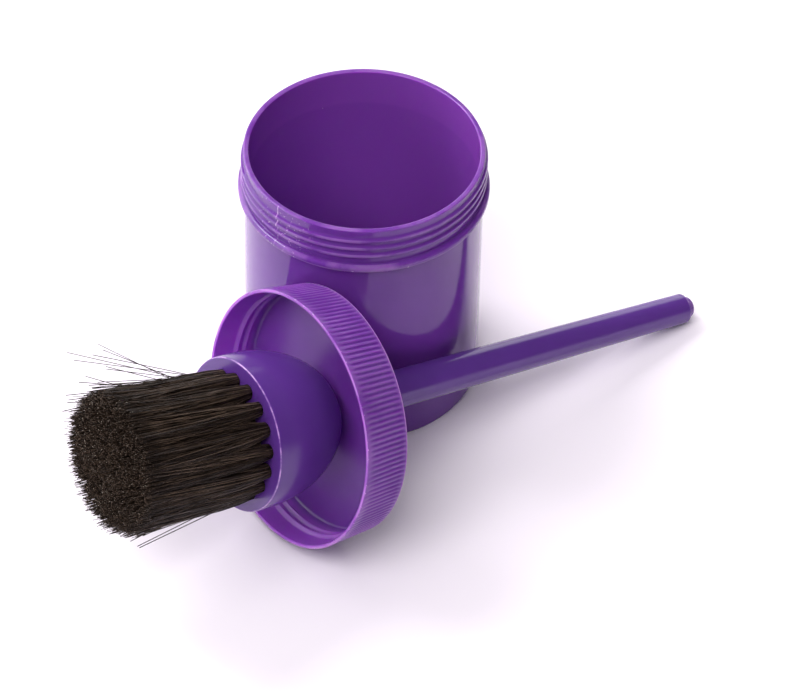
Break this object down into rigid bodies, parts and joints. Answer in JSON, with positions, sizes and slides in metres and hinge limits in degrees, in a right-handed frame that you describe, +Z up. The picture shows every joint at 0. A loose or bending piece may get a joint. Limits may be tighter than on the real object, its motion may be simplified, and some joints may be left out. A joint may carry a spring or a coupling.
{
  "type": "applicator brush with screw-lid pot",
  "caption": "Round bristle brush held in the screw lid of its own wide-mouth plastic pot, shown open with the brush lying beside it.",
  "frame": {"origin": "centre of the pot's base, on the surface that the pot, the lid and the handle's tip all rest on", "axes": "+Z up out of the pot's mouth; +X the level direction in which the handle points, towards its tip"},
  "size_m": [0.2481, 0.1351, 0.1],
  "materials": {
    "plastic": "gloss",
    "bristle": "satin",
    "anchor_metal": "satin"
  },
  "bodies": {
    "jar": {"jar": "plastic"},
    "brush": {"brush_stock": "plastic", "tuft_anchors": "anchor_metal", "tuft_centre": "bristle", "tuft_inner_01": "bristle", "tuft_inner_02": "bristle", "tuft_inner_03": "bristle", "tuft_inner_04": "bristle", "tuft_inner_05": "bristle", "tuft_inner_06": "bristle", "tuft_middle_01": "bristle", "tuft_middle_02": "bristle", "tuft_middle_03": "bristle", "tuft_middle_04": "bristle", "tuft_middle_05": "bristle", "tuft_middle_06": "bristle", "tuft_middle_07": "bristle", "tuft_middle_08": "bristle", "tuft_middle_09": "bristle", "tuft_middle_10": "bristle", "tuft_middle_11": "bristle", "tuft_middle_12": "bristle", "tuft_outer_01": "bristle", "tuft_outer_02": "bristle", "tuft_outer_03": "bristle", "tuft_outer_04": "bristle", "tuft_outer_05": "bristle", "tuft_outer_06": "bristle", "tuft_outer_07": "bristle", "tuft_outer_08": "bristle", "tuft_outer_09": "bristle", "tuft_outer_10": "bristle", "tuft_outer_11": "bristle", "tuft_outer_12": "bristle", "tuft_outer_13": "bristle", "tuft_outer_14": "bristle", "tuft_outer_15": "bristle", "tuft_outer_16": "bristle", "tuft_outer_17": "bristle"},
    "lid": {"lid": "plastic"}
  },
  "joints": [
    {"name": "brush_lift", "type": "slide", "parent": "jar", "child": "brush", "axis": [-0.251, -0.251, 0.9349], "range_m": [0, 0.115]},
    {"name": "lid_turn", "type": "hinge", "parent": "brush", "child": "lid", "pos_m": [-0.04707, -0.0476, 0.04187], "axis": [0.9724, 0, -0.2334], "continuous": true}
  ]
}
